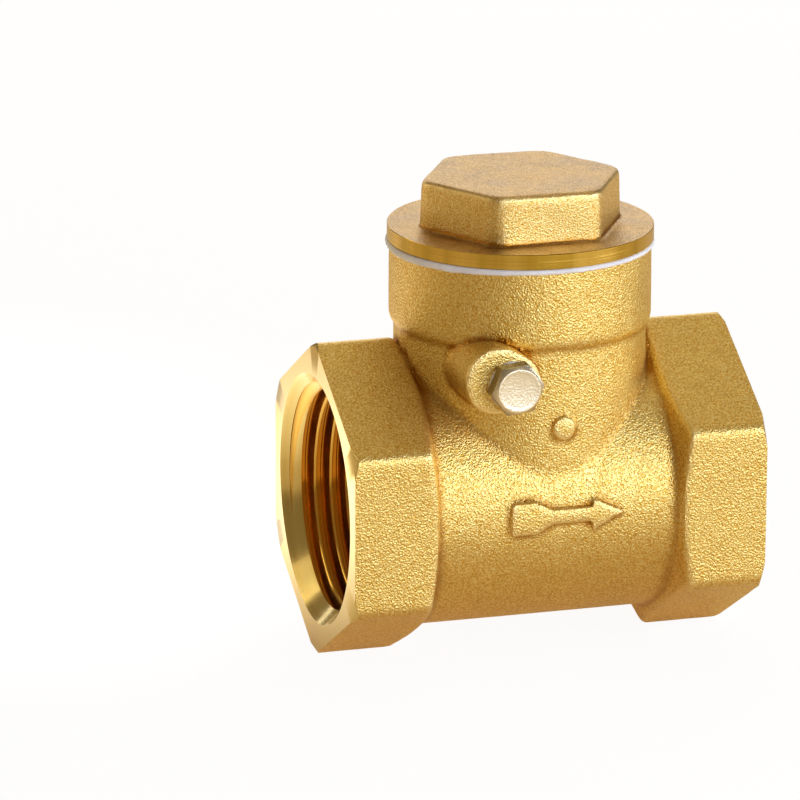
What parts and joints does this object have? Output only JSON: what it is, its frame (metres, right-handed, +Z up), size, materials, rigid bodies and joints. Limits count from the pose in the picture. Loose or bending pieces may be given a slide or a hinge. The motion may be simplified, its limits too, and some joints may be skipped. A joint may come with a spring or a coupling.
{
  "type": "swing check valve",
  "caption": "Brass swing check valve with female pipe-thread ends, hexagonal wrench ends, a screwed bonnet, and a hinged clapper that lets water through one way only.",
  "frame": {"origin": "centre of the inlet mouth, on its end face", "axes": "+X along the run in the direction of flow, +Z up through the bonnet, -Y the front with the flow arrow and the pin plug"},
  "size_m": [0.0595, 0.0439, 0.0675],
  "materials": {
    "cast_brass": "shot-blasted casting with a fine grain, machined at the mouths and the flange rim",
    "machined_brass": "turned, bright",
    "white_ptfe": "soft, matte, slightly ragged at the edge",
    "nickel_plate": "dull plated, fine pitted",
    "stainless": "turned",
    "black_rubber": "matte moulded"
  },
  "bodies": {
    "body": {"valve_body": "cast_brass"},
    "bonnet_seal": {"bonnet_gasket": "white_ptfe"},
    "bonnet": {"bonnet_cap": "cast_brass"},
    "plug_ring": {"plug_seal": "white_ptfe"},
    "plug": {"pin_plug": "nickel_plate"},
    "pin": {"hinge_pin": "stainless"},
    "arm": {"clapper_arm": "machined_brass"},
    "disc": {"clapper_disc": "machined_brass", "rubber_facing": "black_rubber", "facing_retainer": "machined_brass", "retainer_screw": "stainless", "stem_washer": "stainless", "stem_nut": "stainless"}
  },
  "joints": [
    {"name": "clapper_swing", "type": "hinge", "parent": "body", "child": "arm", "pos_m": [0.02215, 0, 0.0204], "axis": [0, -1, 0], "range_deg": [0, 55]},
    {"name": "disc_spin", "type": "hinge", "parent": "arm", "child": "disc", "pos_m": [0.0245, 0, 0], "axis": [1, 0, 0], "continuous": true},
    {"name": "pin_turn", "type": "hinge", "parent": "body", "child": "pin", "pos_m": [0.02215, 0, 0.0204], "axis": [0, 1, 0], "continuous": true},
    {"name": "bonnet_lift", "type": "slide", "parent": "body", "child": "bonnet_seal", "axis": [0, 0, 1], "range_m": [0, 0.009]},
    {"name": "bonnet_screw", "type": "hinge", "parent": "bonnet_seal", "child": "bonnet", "pos_m": [0.02975, 0, 0.036], "axis": [0, 0, 1], "range_deg": [0, 2160]},
    {"name": "plug_lift", "type": "slide", "parent": "body", "child": "plug_ring", "axis": [0, -1, 0], "range_m": [0, 0.007]},
    {"name": "plug_screw", "type": "hinge", "parent": "plug_ring", "child": "plug", "pos_m": [0.02215, -0.0205, 0.0204], "axis": [0, -1, 0], "range_deg": [0, 2520]}
  ],
  "couplings": [
    {"joint": "bonnet_lift", "follows": "bonnet_screw", "m_per_rad": 0.00023873},
    {"joint": "plug_screw", "follows": "plug_lift", "rad_per_m": 6283.2}
  ]
}
